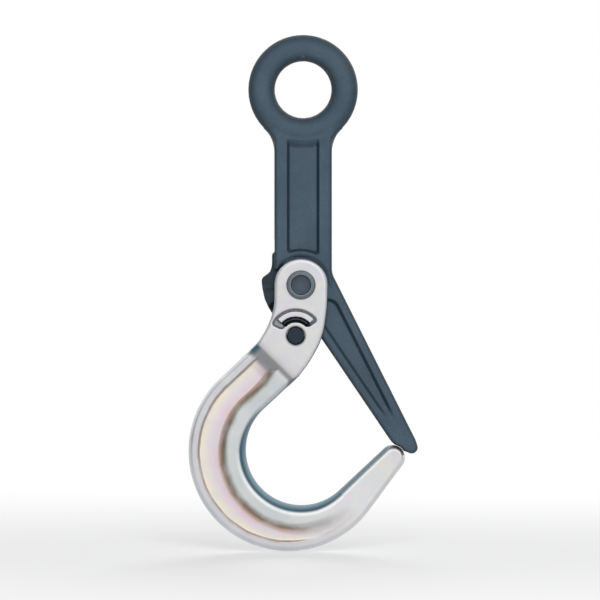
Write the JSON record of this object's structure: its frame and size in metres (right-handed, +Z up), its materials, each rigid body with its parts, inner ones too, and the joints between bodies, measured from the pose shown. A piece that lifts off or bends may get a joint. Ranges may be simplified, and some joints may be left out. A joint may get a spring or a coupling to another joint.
{
  "type": "safety chain hook",
  "caption": "Self-locking eye hook for lifting chain: a forged eye and latch arm, and a plated bowl hook that swings open on a riveted pin when its side trigger is pulled.",
  "frame": {"origin": "on the load line under the eye's centre, in the mid plane, level with the lowest point of the bowl", "axes": "+Z up the load line from the bowl to the eye, +X towards the latch arm, +Y through the hook's thickness, away from the side in the picture"},
  "size_m": [0.0961, 0.0248, 0.2167],
  "materials": {
    "forging_paint": "dark blue-grey paint, satin, on forged steel",
    "zinc_plating": "bright zinc plating with a faint yellow and pink passivate",
    "pin_steel": "blued steel, riveted",
    "dark_steel": "blackened steel",
    "trigger_steel": "dark paint, satin",
    "spring_steel": "drawn spring wire"
  },
  "bodies": {
    "eye_and_latch": {"eye_latch_forging": "forging_paint"},
    "hook": {"hook_body": "zinc_plating", "load_pin": "pin_steel", "trigger_pin": "dark_steel", "trigger_spring": "spring_steel"},
    "trigger": {"trigger": "trigger_steel"}
  },
  "joints": [
    {"name": "hook_swing", "type": "hinge", "parent": "eye_and_latch", "child": "hook", "pos_m": [-0.0009, 0, 0.1117], "axis": [0, 1, 0], "range_deg": [0, 30]},
    {"name": "trigger_pull", "type": "hinge", "parent": "hook", "child": "trigger", "pos_m": [-0.0031, 0, 0.0905], "axis": [0, -1, 0], "range_deg": [0, 10], "stiffness_Nm_per_rad": 0.12, "springref_deg": -25.21, "deforming": ["trigger_spring"]}
  ]
}
